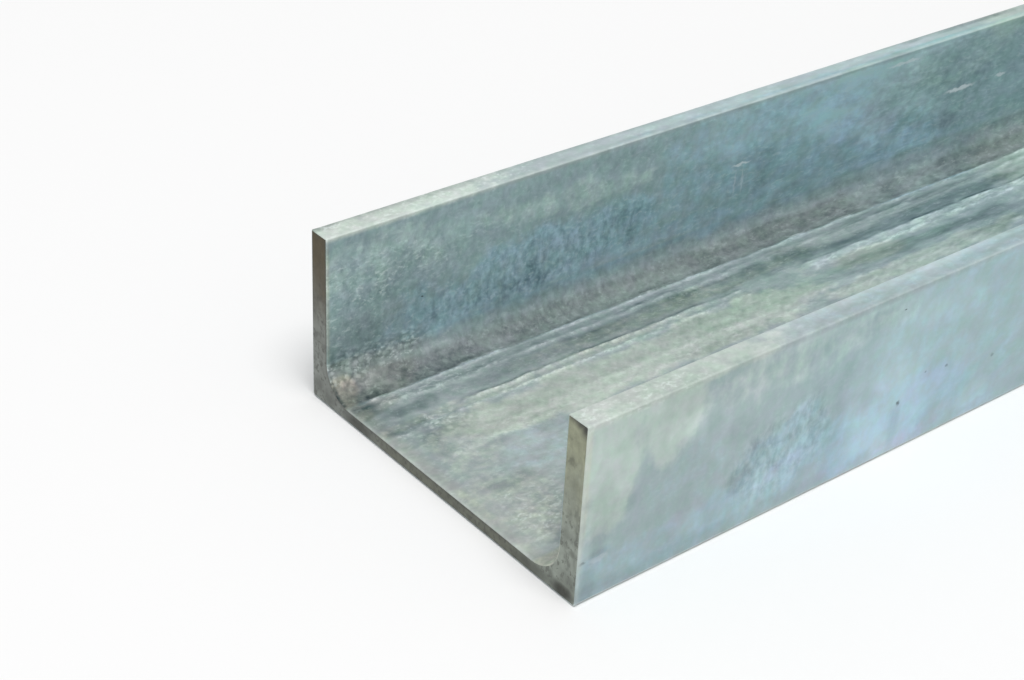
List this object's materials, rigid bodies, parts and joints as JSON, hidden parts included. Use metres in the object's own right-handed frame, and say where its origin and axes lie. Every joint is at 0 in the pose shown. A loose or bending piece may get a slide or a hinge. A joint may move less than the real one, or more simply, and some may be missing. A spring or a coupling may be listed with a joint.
{
  "type": "galvanized steel u-channel",
  "caption": "Hot-rolled parallel-flange steel U-channel with a hot-dip galvanized surface, square toes, rounded roots and sawn ends, lying on its web.",
  "frame": {"origin": "on the back of the web, at the middle of its width and of the length", "axes": "+X across the web, +Y along the length, +Z from the back of the web towards the flange toes"},
  "size_m": [0.14, 1, 0.065],
  "materials": {
    "galvanized_steel": "hot-dip galvanized zinc, dull blue-grey with pale patches, runs and fine grain"
  },
  "bodies": {
    "root": {"u_channel": "galvanized_steel"}
  },
  "joints": []
}
